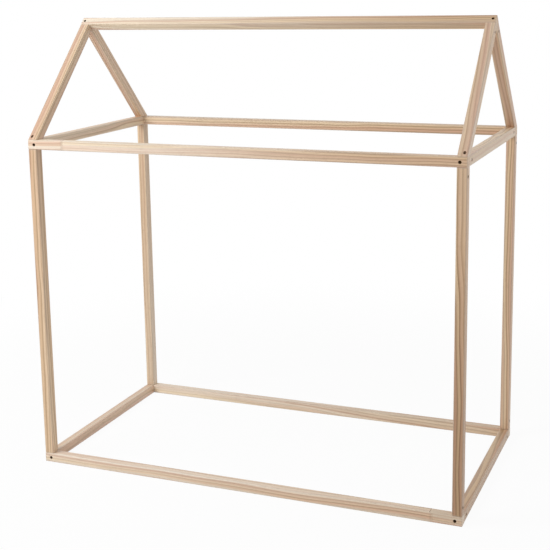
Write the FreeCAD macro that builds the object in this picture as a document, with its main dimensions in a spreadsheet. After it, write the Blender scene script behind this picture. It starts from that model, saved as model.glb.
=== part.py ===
"""A child's house frame bed: seventeen square timbers bolted into a box with a pitched roof.

The frame stands on its four bottom rails and has no slats: the mattress lies inside them. Units are
millimetres, +Z is up, X runs along the bed and Y from its front to its back. The origin is on the
floor under the middle of the frame.
"""

import FreeCAD, Part
import math
import os
import re

from FreeCAD import Placement, Rotation, Vector
import Sketcher

doc = FreeCAD.newDocument("HouseFrameBed")

# ---------------------------------------------------------------- driving dimensions

SIZES = [
    # the mattress that the frame goes round, and the room left beside it
    ("mattress_length", 1400),
    ("mattress_width", 700),
    ("mattress_gap", 10),
    # timber
    ("stock", 32),
    ("post_length", 1075),
    ("edge_round", 3),
    ("end_ease", 0.8),
    # bolts through the rails
    ("rail_bolt_diameter", 6),
    ("rail_bolt_head_diameter", 10),
    ("rail_bolt_head_height", 6),
    ("rail_bolt_socket", 5),
    ("rail_bolt_socket_depth", 3),
    ("rail_recess_depth", 10),
    # lighter bolts through the roof timbers
    ("roof_bolt_diameter", 5),
    ("roof_bolt_head_diameter", 8.5),
    ("roof_bolt_head_height", 3.5),
    ("roof_bolt_socket", 3),
    ("roof_bolt_socket_depth", 2),
    ("ridge_recess_depth", 9),
    ("eaves_bolt_seat", 3),
    # room round bolts and past their tips
    ("bolt_hole_play", 0.5),
    ("recess_play", 0.5),
    ("tip_overrun", 1.4),
    ("tip_room", 2),
    # barrel nuts
    ("barrel_diameter", 10),
    ("barrel_length", 12),
    ("barrel_setback", 27),
    ("barrel_play", 0.3),
    ("barrel_end_room", 0.5),
    ("thread_play", 0.2),
    ("slot_width", 1.2),
    ("slot_depth", 1.5),
    # dowels
    ("dowel_diameter", 8),
    ("dowel_play", 0.1),
    ("dowel_end_room", 1),
    ("dowel_bevel", 0.8),
    ("shallow_dowel_depth", 10),
    ("deep_dowel_depth", 15),
    # places across a timber, measured from the gable face (inset), the long face (setback) or the
    # top or underside of the box (drop)
    ("rail_bolt_inset", 22.5),
    ("post_bolt_inset", 11),
    ("post_bolt_setback", 11),
    ("post_dowel_inset", 22.5),
    ("post_dowel_setback", 22.5),
    ("rail_dowel_inset", 9.5),
    ("rail_dowel_drop", 23),
    ("foot_dowel_inset", 21.5),
    ("foot_dowel_setback", 39),
    ("front_rafter_bolt_inset", 22),
    ("front_rafter_dowel_inset", 10),
    ("back_rafter_bolt_inset", 11),
    ("back_rafter_dowel_inset", 23),
]

sheet = doc.addObject("Spreadsheet::Sheet", "Sizes")
for row, (alias, value) in enumerate(SIZES, start=1):
    sheet.set(f"A{row}", alias)
    sheet.set(f"B{row}", str(value))
    sheet.setAlias(f"B{row}", alias)
doc.recompute()


def sizes(text):
    """An expression in which every word that is a size points at the sheet."""
    names = {alias for alias, _ in SIZES}
    return re.sub(r"[a-z_]+", lambda word: "Sizes." * (word[0] in names) + word[0], text)


# overall sizes, worked out from the driving ones
LENGTH = "(mattress_length + 2 * mattress_gap + 2 * stock)"
DEPTH = "(mattress_width + 2 * mattress_gap + 2 * stock)"
EAVES = "(post_length + 2 * stock)"
SIDE_LENGTH = f"({DEPTH} - 2 * stock)"
HALF = "stock / 2"

# A square ridge that stands on its edge fixes the roof at 45 degrees. A rafter's outer face runs
# from the top edge of the long rail straight up to the ridge's top edge.
RAFTER_LENGTH = f"({DEPTH} / sqrt(2) - stock)"
PEAK = f"({EAVES} + {DEPTH} / 2)"

# holes
RAIL_BOLT_HOLE = "(rail_bolt_diameter + bolt_hole_play)"
RAIL_RECESS = "(rail_bolt_head_diameter + recess_play)"
ROOF_BOLT_HOLE = "(roof_bolt_diameter + bolt_hole_play)"
ROOF_RECESS = "(roof_bolt_head_diameter + recess_play)"
TIP = "(barrel_setback + barrel_diameter / 2 + tip_overrun)"
BARREL_HOLE = "(barrel_diameter + barrel_play)"
BARREL_HALF_ROOM = "(barrel_length / 2 + barrel_end_room)"
DOWEL_HOLE = "(dowel_diameter + dowel_play)"
SHALLOW_HOLE = "(shallow_dowel_depth + dowel_end_room)"
DEEP_HOLE = "(deep_dowel_depth + dowel_end_room)"


# ---------------------------------------------------------------- timbers

# faces of a timber in its own frame: its length runs along local Z and its middle line is the Z axis
FACES = {
    "-x": ("YZ_Plane", "0 - stock / 2", True),
    "+x": ("YZ_Plane", "stock / 2", False),
    "-y": ("XZ_Plane", "stock / 2", False),
    "+y": ("XZ_Plane", "0 - stock / 2", True),
    "start": ("XY_Plane", "0", True),
    "end": ("XY_Plane", None, False),
}


def bind(thing, prop, text):
    thing.setExpression(prop, sizes(text))


def place(thing, x, y, z, turn=Rotation()):
    """Stands a thing at a place given by three expressions."""
    thing.Placement = Placement(Vector(), turn)
    for axis, text in zip("xyz", (x, y, z)):
        bind(thing, f"Placement.Base.{axis}", text)


def plane_sketch(body, name, role, offset="0"):
    plane = next(p for p in body.Origin.OriginFeatures if p.Role == role)
    sketch = body.newObject("Sketcher::SketchObject", name)
    sketch.AttachmentSupport = [(plane, "")]
    sketch.MapMode = "FlatFace"
    bind(sketch, "AttachmentOffset.Base.z", offset)
    return sketch


def dimension(sketch, kind, first, second, text):
    """A dimension between two points of a sketch, tied to an expression."""
    index = sketch.addConstraint(Sketcher.Constraint(kind, *first, *second, 1.0))
    bind(sketch, f"Constraints[{index}]", text)


ORIGIN = (-1, 1)


def outline(sketch, rough, dimensions):
    """A closed outline. It starts as a rough shape, whose corners the dimensions then move."""
    count = len(rough)
    for i in range(count):
        ends = Vector(*rough[i], 0), Vector(*rough[(i + 1) % count], 0)
        sketch.addGeometry(Part.LineSegment(*ends))
    for i in range(count):
        sketch.addConstraint(Sketcher.Constraint("Coincident", i, 2, (i + 1) % count, 1))
    for corner, (across, up) in enumerate(dimensions):
        dimension(sketch, "DistanceX", ORIGIN, (corner, 1), across)
        dimension(sketch, "DistanceY", ORIGIN, (corner, 1), up)


def along_length(edge):
    """Whether an edge runs along its timber's local Z."""
    first, last = edge.Vertexes[0].Point, edge.Vertexes[-1].Point
    return math.isclose(abs(last.z - first.z), edge.Length)


def in_end_plane(edge, height):
    """Whether an edge lies square across its timber at a height along it."""
    return all(math.isclose(v.Point.z, height, abs_tol=1e-6) for v in edge.Vertexes)


def dress(body, pad, both_ends):
    """Rounds a timber's long edges, and eases the edges of its far end or of both ends."""
    doc.recompute()
    names = [f"Edge{i}" for i, e in enumerate(pad.Shape.Edges, start=1) if along_length(e)]
    rounded = body.newObject("PartDesign::Fillet", "LongEdges")
    rounded.Base = (pad, names)
    bind(rounded, "Radius", "edge_round")
    doc.recompute()
    far_end = rounded.Shape.BoundBox.ZMax
    heights = [0, far_end] if both_ends else [far_end]
    names = [
        f"Edge{i}"
        for i, e in enumerate(rounded.Shape.Edges, start=1)
        if any(in_end_plane(e, height) for height in heights)
    ]
    eased = body.newObject("PartDesign::Chamfer", "EndEdges")
    eased.Base = (rounded, names)
    bind(eased, "Size", "end_ease")


def square_timber(name, length):
    """A length of square stock with both ends cut square."""
    body = doc.addObject("PartDesign::Body", name)
    sketch = plane_sketch(body, "Section", "XY_Plane")
    rough = [(-15, -15), (15, -15), (15, 15), (-15, 15)]
    low, high = f"0 - {HALF}", HALF
    outline(sketch, rough, [(low, low), (high, low), (high, high), (low, high)])
    pad = body.newObject("PartDesign::Pad", "Stock")
    pad.Profile = sketch
    bind(pad, "Length", length)
    dress(body, pad, both_ends=True)
    return body


def rafter_timber(name):
    """A rafter: square at the ridge, and cut at 45 degrees at its foot. Its outer face is local -Y."""
    body = doc.addObject("PartDesign::Body", name)
    sketch = plane_sketch(body, "SideView", "YZ_Plane")
    rough = [(-15, 0), (15, 30), (15, 500), (-15, 500)]
    low, high = f"0 - {HALF}", HALF
    corners = [(low, "0"), (high, "stock"), (high, RAFTER_LENGTH), (low, RAFTER_LENGTH)]
    outline(sketch, rough, corners)
    pad = body.newObject("PartDesign::Pad", "Stock")
    pad.Profile = sketch
    pad.Midplane = True
    bind(pad, "Length", "stock")
    dress(body, pad, both_ends=False)
    return body


def drill(body, name, face, centres, diameter, depth=None, length="0"):
    """Bores round holes square into one face. Without a depth they go right through."""
    role, offset, reverse = FACES[face]
    sketch = plane_sketch(body, f"{name}Centres", role, length if offset is None else offset)
    for i, (across, up) in enumerate(centres):
        sketch.addGeometry(Part.Circle(Vector(0, 0, 0), Vector(0, 0, 1), 1))
        dimension(sketch, "DistanceX", ORIGIN, (i, 3), across)
        dimension(sketch, "DistanceY", ORIGIN, (i, 3), up)
        index = sketch.addConstraint(Sketcher.Constraint("Diameter", i, 2.0))
        bind(sketch, f"Constraints[{index}]", diameter)
    pocket = body.newObject("PartDesign::Pocket", name)
    pocket.Profile = sketch
    pocket.Reversed = reverse
    if depth is None:
        pocket.Type = "ThroughAll"
    else:
        bind(pocket, "Length", depth)


def signed(side, text):
    return text if side > 0 else f"0 - ({text})"


def from_centre(side, inset):
    """A place across a timber, measured inwards from the face on one side of its middle line."""
    return signed(side, f"{HALF} - {inset}")


# how a timber's own axes lie in the frame
ALONG_X = Rotation(Vector(0, 1, 0), Vector(0, 0, 1), Vector(1, 0, 0), "ZXY")
ALONG_Y = Rotation(Vector(0, 0, 1), Vector(1, 0, 0), Vector(0, 1, 0), "ZXY")
UPRIGHT = Rotation()
TURNED_ROUND = Rotation(Vector(0, 0, 1), 180)
EIGHTH_TURN = 45
UP_FRONT_SLOPE = Rotation(Vector(1, 0, 0), -EIGHTH_TURN)
UP_BACK_SLOPE = TURNED_ROUND.multiply(UP_FRONT_SLOPE)
RIDGE_ON_EDGE = Rotation(Vector(1, 0, 0), -EIGHTH_TURN).multiply(ALONG_X)


def middle_line(side, size):
    """Where a timber's middle line lies across the frame, whose own middle is at zero."""
    return signed(side, f"{size} / 2 - {HALF}")


def long_rail(name, front, top):
    """A long rail. front and top are -1 and +1 for the sides of the frame on which it lies."""
    body = square_timber(name, LENGTH)
    ends = ["rail_bolt_inset", f"{LENGTH} - rail_bolt_inset"]
    outer = "-x" if front < 0 else "+x"
    inner = "+x" if front < 0 else "-x"
    bolts = [("0", end) for end in ends]
    drill(body, "RailBoltHoles", outer, bolts, RAIL_BOLT_HOLE)
    drill(body, "RailBoltRecesses", outer, bolts, RAIL_RECESS, "rail_recess_depth")

    outside = "+y" if top > 0 else "-y"
    inside = "-y" if top > 0 else "+y"
    ends = ["post_bolt_inset", f"{LENGTH} - post_bolt_inset"]
    bolts = [(from_centre(front, "post_bolt_setback"), end) for end in ends]
    if top > 0:
        drill(body, "EavesBoltHoles", outside, bolts, ROOF_BOLT_HOLE)
    else:
        drill(body, "PostBoltHoles", outside, bolts, RAIL_BOLT_HOLE)
        drill(body, "PostBoltRecesses", outside, bolts, RAIL_RECESS, "rail_recess_depth")

    ends = ["post_dowel_inset", f"{LENGTH} - post_dowel_inset"]
    dowels = [(from_centre(front, "post_dowel_setback"), end) for end in ends]
    drill(body, "PostDowelHoles", inside, dowels, DOWEL_HOLE, SHALLOW_HOLE)

    ends = ["rail_dowel_inset", f"{LENGTH} - rail_dowel_inset"]
    dowels = [(from_centre(top, "rail_dowel_drop"), end) for end in ends]
    drill(body, "RailDowelHoles", inner, dowels, DOWEL_HOLE, SHALLOW_HOLE)

    height = f"{EAVES} - {HALF}" if top > 0 else HALF
    place(body, f"0 - {LENGTH} / 2", middle_line(front, DEPTH), height, ALONG_X)
    return body


def side_rail(name, right, top):
    """A short rail between the long ones, on the left (-1) or the right (+1)."""
    body = square_timber(name, SIDE_LENGTH)
    bolt = [("0", from_centre(right, "rail_bolt_inset"))]
    dowel = [(from_centre(top, "rail_dowel_drop"), from_centre(right, "rail_dowel_inset"))]
    for end in ("start", "end"):
        drill(body, f"BoltHole_{end}", end, bolt, RAIL_BOLT_HOLE, f"{TIP} + tip_room", SIDE_LENGTH)
        drill(body, f"DowelHole_{end}", end, dowel, DOWEL_HOLE, DEEP_HOLE, SIDE_LENGTH)

    barrels = [("0", "barrel_setback"), ("0", f"{SIDE_LENGTH} - barrel_setback")]
    depth = f"rail_bolt_inset + {BARREL_HALF_ROOM}"
    drill(body, "BarrelHoles", "+y" if right > 0 else "-y", barrels, BARREL_HOLE, depth)

    if top > 0:
        across = from_centre(right, "foot_dowel_inset")
        step = "(foot_dowel_setback - stock)"
        dowels = [(across, step), (across, f"{SIDE_LENGTH} - {step}")]
        drill(body, "FootDowelHoles", "+x", dowels, DOWEL_HOLE, SHALLOW_HOLE)

    height = f"{EAVES} - {HALF}" if top > 0 else HALF
    place(body, middle_line(right, LENGTH), f"0 - {SIDE_LENGTH} / 2", height, ALONG_Y)
    return body


def corner_post(name, right, front):
    """A post between a bottom and a top long rail, at a corner given by -1 or +1 both ways."""
    body = square_timber(name, "post_length")
    across = from_centre(right, "post_bolt_inset")
    bolt = [(across, from_centre(front, "post_bolt_setback"))]
    dowel = [(from_centre(right, "post_dowel_inset"), from_centre(front, "post_dowel_setback"))]
    for end, hole in (("start", RAIL_BOLT_HOLE), ("end", ROOF_BOLT_HOLE)):
        drill(body, f"BoltHole_{end}", end, bolt, hole, f"{TIP} + tip_room", "post_length")
        drill(body, f"DowelHole_{end}", end, dowel, DOWEL_HOLE, DEEP_HOLE, "post_length")

    setback = from_centre(front, "post_bolt_setback")
    barrels = [(setback, "barrel_setback"), (setback, "post_length - barrel_setback")]
    depth = f"post_bolt_inset + {BARREL_HALF_ROOM}"
    drill(body, "BarrelHoles", "+x" if right > 0 else "-x", barrels, BARREL_HOLE, depth)
    place(body, middle_line(right, LENGTH), middle_line(front, DEPTH), "stock", UPRIGHT)
    return body


def rafter(name, right, front):
    """A rafter, from the top edge of a long rail up to the far side's lower face of the ridge."""
    body = rafter_timber(name)
    # a back rafter is turned round, so that its local X runs the other way
    gable = right if front < 0 else -right
    row = "front_rafter" if front < 0 else "back_rafter"
    bolt = [(from_centre(gable, f"{row}_bolt_inset"), "0")]
    dowel = [(from_centre(gable, f"{row}_dowel_inset"), "0")]
    drill(body, "BoltHole", "end", bolt, ROOF_BOLT_HOLE, f"{TIP} + tip_room", RAFTER_LENGTH)
    drill(body, "DowelHole", "end", dowel, DOWEL_HOLE, DEEP_HOLE, RAFTER_LENGTH)
    barrel = [("0", f"{RAFTER_LENGTH} - barrel_setback")]
    depth = f"{row}_bolt_inset + {BARREL_HALF_ROOM}"
    drill(body, "BarrelHole", "+x" if gable > 0 else "-x", barrel, BARREL_HOLE, depth)

    foot_bore(body, "EavesBoltHole", gable, "post_bolt", "0", ROOF_BOLT_HOLE, "stock")
    foot_bore(body, "EavesBoltRecess", gable, "post_bolt", "eaves_bolt_seat", ROOF_RECESS, "stock")
    foot_bore(body, "FootDowelHole", gable, "foot_dowel", "0", DOWEL_HOLE, DEEP_HOLE)

    # the middle line starts half a timber in from the toe, square to the slope
    toe = f"({DEPTH} / 2 - {HALF} / sqrt(2))"
    turn = UP_FRONT_SLOPE if front < 0 else UP_BACK_SLOPE
    place(body, middle_line(right, LENGTH), signed(front, toe), f"{EAVES} - {HALF} / sqrt(2)", turn)
    return body


def foot_bore(body, name, gable, row, start, diameter, depth):
    """Bores upright into a rafter's foot, from a height above its sloping cut.

    The place across the foot is the row's inset from the gable face and setback from the toe.
    """
    hole = body.newObject("PartDesign::SubtractiveCylinder", name)
    bind(hole, "Radius", f"{diameter} / 2")
    bind(hole, "Height", depth)
    up = f"({row}_setback + {start}) / sqrt(2)"
    out = f"({row}_setback - {start}) / sqrt(2) - {HALF}"
    place(hole, from_centre(gable, f"{row}_inset"), out, up, Rotation(Vector(1, 0, 0), EIGHTH_TURN))


def ridge(name):
    """The ridge stands on its edge. Its local -X face is the upper front one, +Y the upper back one."""
    body = square_timber(name, LENGTH)
    for row, outer, far in (("back_rafter", "-x", "+x"), ("front_rafter", "+y", "-y")):
        word = row.split("_")[0].capitalize()
        inset = f"{row}_bolt_inset"
        bolts = [("0", inset), ("0", f"{LENGTH} - {inset}")]
        drill(body, f"{word}BoltHoles", outer, bolts, ROOF_BOLT_HOLE)
        drill(body, f"{word}BoltRecesses", outer, bolts, ROOF_RECESS, "ridge_recess_depth")
        inset = f"{row}_dowel_inset"
        dowels = [("0", inset), ("0", f"{LENGTH} - {inset}")]
        drill(body, f"{word}DowelHoles", far, dowels, DOWEL_HOLE, SHALLOW_HOLE)
    place(body, f"0 - {LENGTH} / 2", "0", f"{PEAK} - stock / sqrt(2)", RIDGE_ON_EDGE)
    return body


timbers = []
for word, top in (("top", 1), ("bottom", -1)):
    timbers.append(long_rail(f"front_{word}_rail", -1, top))
    timbers.append(long_rail(f"back_{word}_rail", 1, top))
    timbers.append(side_rail(f"left_{word}_rail", -1, top))
    timbers.append(side_rail(f"right_{word}_rail", 1, top))
for depthwise, front in (("front", -1), ("back", 1)):
    for sideways, right in (("left", -1), ("right", 1)):
        timbers.append(corner_post(f"{depthwise}_{sideways}_post", right, front))
        timbers.append(rafter(f"{depthwise}_{sideways}_rafter", right, front))
timbers.append(ridge("ridge_beam"))


# ---------------------------------------------------------------- fasteners
# Each is made once in its own frame, its axis on local Z, and copied to the joints of its kind.


def round_bar(name, diameter, length, start="0"):
    bar = doc.addObject("Part::Cylinder", name)
    bind(bar, "Radius", f"{diameter} / 2")
    bind(bar, "Height", length)
    place(bar, "0", "0", start)
    return bar


def cut(name, base, tool):
    result = doc.addObject("Part::Cut", name)
    result.Base = base
    result.Tool = tool
    return result


def fuse(name, pieces):
    result = doc.addObject("Part::MultiFuse", name)
    result.Shapes = pieces
    return result


def bolt(name, row, length):
    """A bolt with a cylinder head and a hexagon socket. Its seat is at zero and its tip below."""
    head = round_bar(f"{name}_head", f"{row}_head_diameter", f"{row}_head_height")
    shank = round_bar(f"{name}_shank", f"{row}_diameter", length, f"0 - ({length})")
    socket = doc.addObject("Part::Prism", f"{name}_socket")
    socket.Polygon = 6
    bind(socket, "Circumradius", f"{row}_socket / sqrt(3)")
    bind(socket, "Height", f"{row}_socket_depth")
    place(socket, "0", "0", f"{row}_head_height - {row}_socket_depth")
    return cut(name, fuse(f"{name}_blank", [head, shank]), socket)


def barrel_nut(name, row):
    """A cross nut: its length on local X, its thread on local Z, a driver slot in its -X end."""
    bar = round_bar(f"{name}_bar", "barrel_diameter", "barrel_length")
    place(bar, "0 - barrel_length / 2", "0", "0", Rotation(Vector(0, 1, 0), 90))
    thread = f"({row}_diameter + thread_play)"
    hole = round_bar(f"{name}_thread", thread, "barrel_diameter", "0 - barrel_diameter / 2")
    slot = doc.addObject("Part::Box", f"{name}_slot")
    bind(slot, "Length", "slot_depth")
    bind(slot, "Width", "barrel_diameter")
    bind(slot, "Height", "slot_width")
    place(slot, "0 - barrel_length / 2", "0 - barrel_diameter / 2", "0 - slot_width / 2")
    return cut(name, bar, fuse(f"{name}_openings", [hole, slot]))


def dowel(name):
    """A wooden pin with bevelled ends. The joint is at its zero, its shorter part below."""
    length = "(shallow_dowel_depth + deep_dowel_depth)"
    pin = round_bar(f"{name}_pin", "dowel_diameter", length, "0 - shallow_dowel_depth")
    doc.recompute()
    rims = [i for i, e in enumerate(pin.Shape.Edges, start=1) if e.Closed and len(e.Vertexes) == 1]
    bevel = sheet.get("dowel_bevel")
    bevelled = doc.addObject("Part::Chamfer", name)
    bevelled.Base = pin
    bevelled.Edges = [(i, bevel, bevel) for i in rims]
    return bevelled


def copy_at(master, name, x, y, z, turn):
    """One more of a fastener, at a place given by three expressions."""
    copy = doc.addObject("Part::Compound", name)
    copy.Links = [master]
    place(copy, x, y, z, turn)
    return copy


def mirrored(source, name, axis):
    """The same fastener on the other side of the frame's middle plane across one axis."""
    mirror = doc.addObject("Part::Mirroring", name)
    mirror.Source = source
    mirror.Normal = Vector(*[float(letter == axis) for letter in "xyz"])
    if axis == "z":
        bind(mirror, "Base.z", f"{EAVES} / 2")
    return mirror


def group(name, firsts, axes):
    """A node of equal fasteners: the first ones and their mirror images across the named axes."""
    pieces = list(firsts)
    for axis in axes:
        pieces += [mirrored(piece, f"{piece.Name}_{axis}", axis) for piece in pieces]
    node = doc.addObject("Part::Compound", name)
    node.Links = pieces
    return node


LEFT_FACE = f"0 - {LENGTH} / 2"
FRONT_FACE = f"0 - {DEPTH} / 2"
HEAD_UP = Rotation()
HEAD_DOWN = Rotation(Vector(1, 0, 0), 180)
HEAD_FRONT = Rotation(Vector(1, 0, 0), 90)
HEAD_BACK = Rotation(Vector(1, 0, 0), -90)

the_dowel = dowel("dowel")
rail_barrel = barrel_nut("rail_barrel", "rail_bolt")
roof_barrel = barrel_nut("roof_barrel", "roof_bolt")
rail_bolt = bolt("rail_bolt", "rail_bolt", f"stock - rail_recess_depth + {TIP}")
eaves_bolt = bolt("eaves_bolt", "roof_bolt", f"eaves_bolt_seat + stock + {TIP}")
ridge_bolt = bolt("ridge_bolt", "roof_bolt", f"stock - ridge_recess_depth + {TIP}")


def rail_joints():
    """Long rail to side rail, at the eight corners of the box."""
    joint = f"{FRONT_FACE} + stock"
    x, z = f"{LEFT_FACE} + rail_bolt_inset", f"{EAVES} - {HALF}"
    seat = f"{FRONT_FACE} + rail_recess_depth"
    bolts = copy_at(rail_bolt, "RailBolt", x, seat, z, HEAD_FRONT)
    barrels = copy_at(rail_barrel, "RailBarrel", x, f"{joint} + barrel_setback", z, HEAD_FRONT)
    x, z = f"{LEFT_FACE} + rail_dowel_inset", f"{EAVES} - rail_dowel_drop"
    dowels = copy_at(the_dowel, "RailDowel", x, joint, z, HEAD_BACK)
    return [
        group("rail_bolts", [bolts], "xyz"),
        group("rail_barrel_nuts", [barrels], "xyz"),
        group("rail_dowels", [dowels], "xyz"),
    ]


def post_joints():
    """Bottom rail to post, by a bolt from below, and a dowel beside it at both ends of the post."""
    x, y = f"{LEFT_FACE} + post_bolt_inset", f"{FRONT_FACE} + post_bolt_setback"
    bolts = copy_at(rail_bolt, "PostBolt", x, y, "rail_recess_depth", HEAD_DOWN)
    barrels = copy_at(rail_barrel, "PostBarrel", x, y, "stock + barrel_setback", HEAD_DOWN)
    x, y = f"{LEFT_FACE} + post_dowel_inset", f"{FRONT_FACE} + post_dowel_setback"
    dowels = copy_at(the_dowel, "PostDowel", x, y, "stock", HEAD_UP)
    return [
        group("post_bolts", [bolts], "xy"),
        group("post_barrel_nuts", [barrels], "xy"),
        group("post_dowels", [dowels], "xyz"),
    ]


def eaves_joints():
    """Rafter foot and top rail to post, by one bolt, and a dowel from the foot to the side rail."""
    x, y = f"{LEFT_FACE} + post_bolt_inset", f"{FRONT_FACE} + post_bolt_setback"
    bolts = copy_at(eaves_bolt, "EavesBolt", x, y, f"{EAVES} + eaves_bolt_seat", HEAD_UP)
    nut_height = f"{EAVES} - stock - barrel_setback"
    barrels = copy_at(roof_barrel, "EavesBarrel", x, y, nut_height, HEAD_UP)
    x, y = f"{LEFT_FACE} + foot_dowel_inset", f"{FRONT_FACE} + foot_dowel_setback"
    dowels = copy_at(the_dowel, "FootDowel", x, y, EAVES, HEAD_UP)
    return [
        group("eaves_bolts", [bolts], "xy"),
        group("eaves_barrel_nuts", [barrels], "xy"),
        group("rafter_foot_dowels", [dowels], "xy"),
    ]


def down_slope(master, name, row, far, inset, reach, turn):
    """A copy that lies down the front (far -1) or back (+1) slope from the ridge's middle line."""
    across = signed(far, f"({reach}) / sqrt(2)")
    height = f"{PEAK} - stock / sqrt(2) - ({reach}) / sqrt(2)"
    return copy_at(master, name, f"{LEFT_FACE} + {row}_{inset}", across, height, turn)


def ridge_joints():
    """Ridge to rafters. A bolt crosses the ridge into the end of the rafter on the far side."""
    bolts, barrels, dowels = [], [], []
    for word, far in (("front", -1), ("back", 1)):
        row = f"{word}_rafter"
        tip_down = Rotation(Vector(1, 0, 0), EIGHTH_TURN * far)
        tip_up = tip_down.multiply(HEAD_DOWN)
        seat, nut = f"ridge_recess_depth - {HALF}", f"{HALF} + barrel_setback"
        bolts.append(
            down_slope(ridge_bolt, f"{word}_ridge_bolt", row, far, "bolt_inset", seat, tip_down)
        )
        barrels.append(
            down_slope(roof_barrel, f"{word}_ridge_barrel", row, far, "bolt_inset", nut, tip_down)
        )
        dowels.append(
            down_slope(the_dowel, f"{word}_ridge_dowel", row, far, "dowel_inset", HALF, tip_up)
        )
    return [
        group("ridge_bolts", bolts, "x"),
        group("ridge_barrel_nuts", barrels, "x"),
        group("ridge_dowels", dowels, "x"),
    ]


fasteners = rail_joints() + post_joints() + eaves_joints() + ridge_joints()


# ---------------------------------------------------------------- checks and files


def check(nodes):
    """Stops on any object that failed, on a hole that took nothing away and on a bad shape."""
    for thing in doc.Objects:
        if "Invalid" in thing.State or "Error" in thing.State:
            raise RuntimeError(f"{thing.Name} failed: {thing.State}")
    for hole in doc.Objects:
        if hole.TypeId in ("PartDesign::Pocket", "PartDesign::SubtractiveCylinder"):
            if not hole.Shape.Volume < hole.BaseFeature.Shape.Volume - 1:
                raise RuntimeError(f"{hole.Name} cuts nothing")
    for node in nodes:
        if node.Shape.isNull() or not node.Shape.isValid():
            raise RuntimeError(f"{node.Label} has a bad shape")


nodes = timbers + fasteners
for node in nodes:
    node.Label = node.Name
doc.recompute()
check(nodes)

os.makedirs("parts", exist_ok=True)
for node in nodes:
    node.Shape.exportStep(f"parts/{node.Label}.step")
whole = Part.makeCompound([node.Shape for node in nodes]).BoundBox
print(f"{len(nodes)} nodes, {sum(len(node.Shape.Solids) for node in nodes)} solids")
print(f"{whole.XLength:.1f} x {whole.YLength:.1f} x {whole.ZLength:.1f} mm, lowest {whole.ZMin:.3f}")
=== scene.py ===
# %% [markdown]
# # A house frame bed in pale timber
#
# The object is a children's bed whose frame is drawn like a small house: a rectangle of square
# timber on the floor, four posts, a second rectangle at the eaves, two gables and a ridge
# The imported model already holds every timber at its true size, so this
# lesson adds what that model can't have: the wood itself, the ironmongery's fine shapes, light
# and a camera. The first cell loads the model, and defines helpers for its boxes and pieces.

# %% Load the imported frame
import math

import bmesh
import bpy
from mathutils import Euler, Matrix, Vector


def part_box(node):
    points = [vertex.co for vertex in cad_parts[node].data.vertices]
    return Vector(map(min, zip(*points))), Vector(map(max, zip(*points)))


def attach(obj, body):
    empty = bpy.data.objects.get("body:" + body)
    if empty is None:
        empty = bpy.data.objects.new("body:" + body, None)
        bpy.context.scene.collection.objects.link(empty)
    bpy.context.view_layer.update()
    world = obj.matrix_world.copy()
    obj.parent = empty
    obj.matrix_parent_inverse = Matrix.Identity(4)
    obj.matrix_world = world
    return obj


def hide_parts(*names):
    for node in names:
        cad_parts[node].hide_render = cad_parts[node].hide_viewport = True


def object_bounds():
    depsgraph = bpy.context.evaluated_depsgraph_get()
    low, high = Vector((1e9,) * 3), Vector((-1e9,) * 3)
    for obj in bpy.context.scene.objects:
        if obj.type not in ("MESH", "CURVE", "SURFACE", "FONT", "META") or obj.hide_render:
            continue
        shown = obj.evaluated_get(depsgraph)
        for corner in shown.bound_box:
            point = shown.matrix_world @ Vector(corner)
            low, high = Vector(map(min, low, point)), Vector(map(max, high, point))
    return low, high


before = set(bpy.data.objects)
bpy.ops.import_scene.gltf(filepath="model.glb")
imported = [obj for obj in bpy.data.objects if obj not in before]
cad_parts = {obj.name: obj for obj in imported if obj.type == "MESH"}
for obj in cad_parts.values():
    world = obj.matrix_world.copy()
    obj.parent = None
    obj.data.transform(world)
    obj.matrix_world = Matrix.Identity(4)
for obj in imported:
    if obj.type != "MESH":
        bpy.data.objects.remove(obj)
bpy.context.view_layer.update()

# %% [markdown]
# ## The camera
#
# The picture is taken from the front right, a little above the ridge. A camera can be placed by
# eye, by its location and a target, or by angles. Angles are used here, because the bed's upright
# posts show plainly how far the camera is turned and tipped. The small shift keeps the posts
# nearer upright than tipping alone would, as a view camera does.

# %% Place the camera
MILLIMETRE = 0.001
CAMERA_PLACE = Vector((1451, -3611, 1618)) * MILLIMETRE
CAMERA_HEADING = math.radians(22.09)
CAMERA_TIP = math.radians(-10.82)
CAMERA_ROLL = math.radians(-0.94)
LENS = 75.08
SHIFT_UP = -0.12


def new_object(name, data):
    """A new object that is linked into the scene."""
    made = bpy.data.objects.new(name, data)
    bpy.context.scene.collection.objects.link(made)
    return made


camera = new_object("camera", bpy.data.cameras.new("camera"))
camera.location = CAMERA_PLACE
aim = Euler((math.pi / 2 + CAMERA_TIP, 0, CAMERA_HEADING)).to_matrix()
camera.rotation_euler = (aim @ Matrix.Rotation(CAMERA_ROLL, 3, "Z")).to_euler()
camera.data.lens = LENS
camera.data.shift_y = SHIFT_UP
bpy.context.scene.camera = camera
print("the camera stands", round(CAMERA_PLACE.length, 2), "metres from the middle of the floor")

# %% [markdown]
# ## Helpers that make and wire nodes
#
# Every finish here is a tree of nodes, and writing one takes the same two steps again and again:
# make a node, then fill its sockets with a value or with a wire from another node. The first two
# helpers do that. The others are for arithmetic, which most of a grain pattern is. Nodes could be
# placed by hand in the editor instead, but a tree that is written out can be read and changed.

# %% Make a node, and reckon with nodes
def put(tree, socket, value):
    """Wires a socket to another node's output, or sets it to a plain value."""
    if isinstance(value, bpy.types.NodeSocket):
        tree.links.new(value, socket)
    else:
        socket.default_value = value


def node(tree, kind, inputs=None, **settings):
    """Makes a node, sets its options, then fills the named or numbered sockets."""
    made = tree.nodes.new(kind)
    for name, value in settings.items():
        setattr(made, name, value)
    for name, value in (inputs or {}).items():
        put(tree, made.inputs[name], value)
    return made


def maths(tree, operation, *values, clamp=False):
    """The result of one step of arithmetic."""
    made = node(tree, "ShaderNodeMath", dict(enumerate(values)), operation=operation, use_clamp=clamp)
    return made.outputs[0]


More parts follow.
